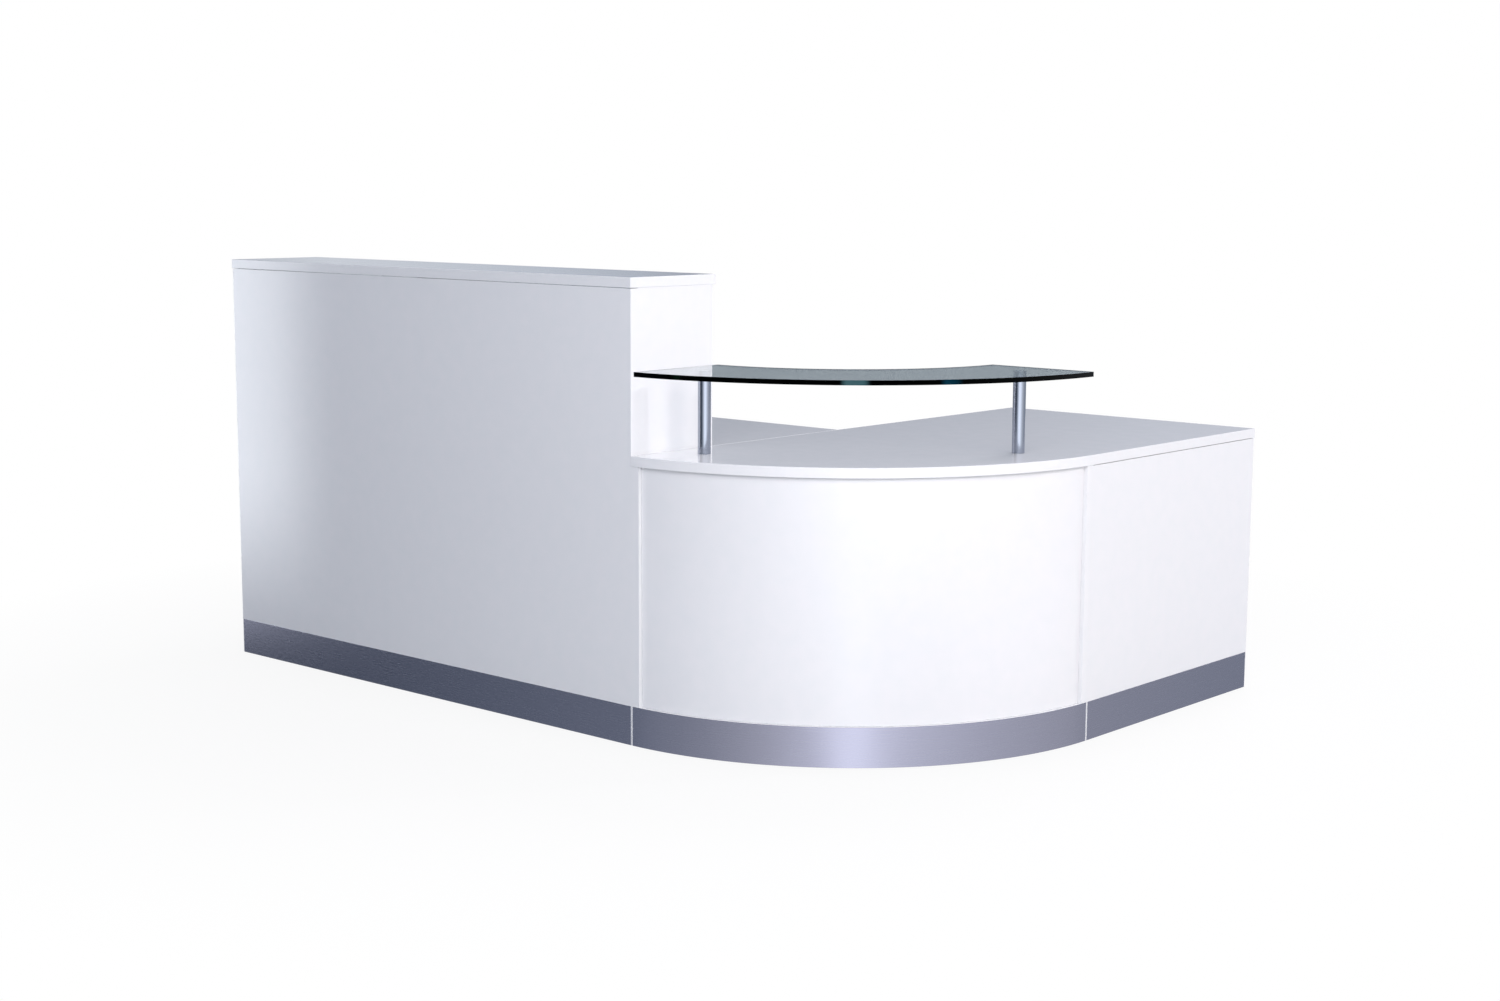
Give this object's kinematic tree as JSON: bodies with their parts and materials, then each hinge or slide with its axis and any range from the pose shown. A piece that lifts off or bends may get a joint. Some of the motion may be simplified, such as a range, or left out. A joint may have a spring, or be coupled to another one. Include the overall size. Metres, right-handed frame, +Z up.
{
  "type": "checkout counter",
  "caption": "Corner checkout counter in gloss white board: a tall unit with a raised ledge, a curved corner with a glass shelf on posts, and a low return.",
  "frame": {"origin": "on the floor, under the middle of the counter's bounding box", "axes": "+X along the tall unit's front from its free end towards the return unit, +Y from the customers towards the staff side, +Z up"},
  "size_m": [2.404, 1.604, 1.15],
  "materials": {
    "gloss_board": "melamine-faced particle board with a high-gloss white face",
    "edge_band": "2 mm gloss white ABS edging",
    "brushed_facing": "brushed aluminium, grain along its length",
    "raw_board": "bare plywood and beech",
    "satin_aluminium": "satin anodised",
    "coated_steel": "silver powder coat",
    "clear_glass": "clear toughened glass with polished edges",
    "clear_pad": "clear silicone",
    "zinc_fittings": "zinc plated",
    "port_plastic": "light grey moulded ABS",
    "black_plastic": "black moulded polypropylene"
  },
  "bodies": {
    "counter": {"hob_top": "gloss_board", "tall_front_panel": "gloss_board", "tall_end_left": "gloss_board", "tall_end_right": "gloss_board", "hob_divider": "gloss_board", "desk_mid_support": "gloss_board", "main_worktop": "gloss_board", "corner_gable_left": "gloss_board", "corner_gable_right": "gloss_board", "curved_front_panel": "gloss_board", "return_front_panel": "gloss_board", "return_gable_near": "gloss_board", "return_gable_far": "gloss_board", "corner_return_worktop": "gloss_board", "tall_kick": "gloss_board", "curved_kick": "gloss_board", "return_kick": "gloss_board", "hob_top_edging": "edge_band", "main_worktop_edging": "edge_band", "corner_return_edging": "edge_band", "kick_end_bands": "edge_band", "tall_kick_facing": "brushed_facing", "curved_kick_facing": "brushed_facing", "return_kick_facing": "brushed_facing", "kick_blocks": "raw_board", "curved_ribs": "raw_board", "curved_panel_cleats": "raw_board", "dowels": "raw_board", "posts": "satin_aluminium", "post_caps": "satin_aluminium", "corner_leg": "coated_steel", "glass_shelf": "clear_glass", "glass_pads": "clear_pad", "post_rods": "zinc_fittings", "post_washers": "zinc_fittings", "post_nuts": "zinc_fittings", "unit_bolts": "zinc_fittings", "cam_locks": "zinc_fittings", "cam_bolts": "zinc_fittings", "worktop_brackets": "zinc_fittings", "bracket_screws": "zinc_fittings", "foot_inserts": "zinc_fittings", "cable_port_liners": "port_plastic", "corner_leg_plug": "black_plastic"},
    "foot_tall_left_front": {"foot_tall_left_front": "black_plastic"},
    "foot_tall_left_back": {"foot_tall_left_back": "black_plastic"},
    "foot_tall_right_front": {"foot_tall_right_front": "black_plastic"},
    "foot_tall_right_back": {"foot_tall_right_back": "black_plastic"},
    "foot_corner_left_front": {"foot_corner_left_front": "black_plastic"},
    "foot_corner_left_back": {"foot_corner_left_back": "black_plastic"},
    "foot_corner_right_front": {"foot_corner_right_front": "black_plastic"},
    "foot_corner_right_back": {"foot_corner_right_back": "black_plastic"},
    "foot_return_near_front": {"foot_return_near_front": "black_plastic"},
    "foot_return_near_back": {"foot_return_near_back": "black_plastic"},
    "foot_return_far_front": {"foot_return_far_front": "black_plastic"},
    "foot_return_far_back": {"foot_return_far_back": "black_plastic"},
    "foot_corner_leg": {"foot_corner_leg": "black_plastic"},
    "cable_port_cap_left": {"cable_port_cap_left": "port_plastic"},
    "cable_port_cap_right": {"cable_port_cap_right": "port_plastic"}
  },
  "joints": [
    {"name": "foot_tall_left_front_adjust", "type": "slide", "parent": "counter", "child": "foot_tall_left_front", "axis": [0, 0, -1], "range_m": [0, 0.01]},
    {"name": "foot_tall_left_back_adjust", "type": "slide", "parent": "counter", "child": "foot_tall_left_back", "axis": [0, 0, -1], "range_m": [0, 0.01]},
    {"name": "foot_tall_right_front_adjust", "type": "slide", "parent": "counter", "child": "foot_tall_right_front", "axis": [0, 0, -1], "range_m": [0, 0.01]},
    {"name": "foot_tall_right_back_adjust", "type": "slide", "parent": "counter", "child": "foot_tall_right_back", "axis": [0, 0, -1], "range_m": [0, 0.01]},
    {"name": "foot_corner_left_front_adjust", "type": "slide", "parent": "counter", "child": "foot_corner_left_front", "axis": [0, 0, -1], "range_m": [0, 0.01]},
    {"name": "foot_corner_left_back_adjust", "type": "slide", "parent": "counter", "child": "foot_corner_left_back", "axis": [0, 0, -1], "range_m": [0, 0.01]},
    {"name": "foot_corner_right_front_adjust", "type": "slide", "parent": "counter", "child": "foot_corner_right_front", "axis": [0, 0, -1], "range_m": [0, 0.01]},
    {"name": "foot_corner_right_back_adjust", "type": "slide", "parent": "counter", "child": "foot_corner_right_back", "axis": [0, 0, -1], "range_m": [0, 0.01]},
    {"name": "foot_return_near_front_adjust", "type": "slide", "parent": "counter", "child": "foot_return_near_front", "axis": [0, 0, -1], "range_m": [0, 0.01]},
    {"name": "foot_return_near_back_adjust", "type": "slide", "parent": "counter", "child": "foot_return_near_back", "axis": [0, 0, -1], "range_m": [0, 0.01]},
    {"name": "foot_return_far_front_adjust", "type": "slide", "parent": "counter", "child": "foot_return_far_front", "axis": [0, 0, -1], "range_m": [0, 0.01]},
    {"name": "foot_return_far_back_adjust", "type": "slide", "parent": "counter", "child": "foot_return_far_back", "axis": [0, 0, -1], "range_m": [0, 0.01]},
    {"name": "foot_corner_leg_adjust", "type": "slide", "parent": "counter", "child": "foot_corner_leg", "axis": [0, 0, -1], "range_m": [0, 0.01]},
    {"name": "cable_port_cap_left_lift", "type": "slide", "parent": "counter", "child": "cable_port_cap_left", "axis": [0, 0, 1], "range_m": [0, 0.02]},
    {"name": "cable_port_cap_right_lift", "type": "slide", "parent": "counter", "child": "cable_port_cap_right", "axis": [0, 0, 1], "range_m": [0, 0.02]}
  ]
}
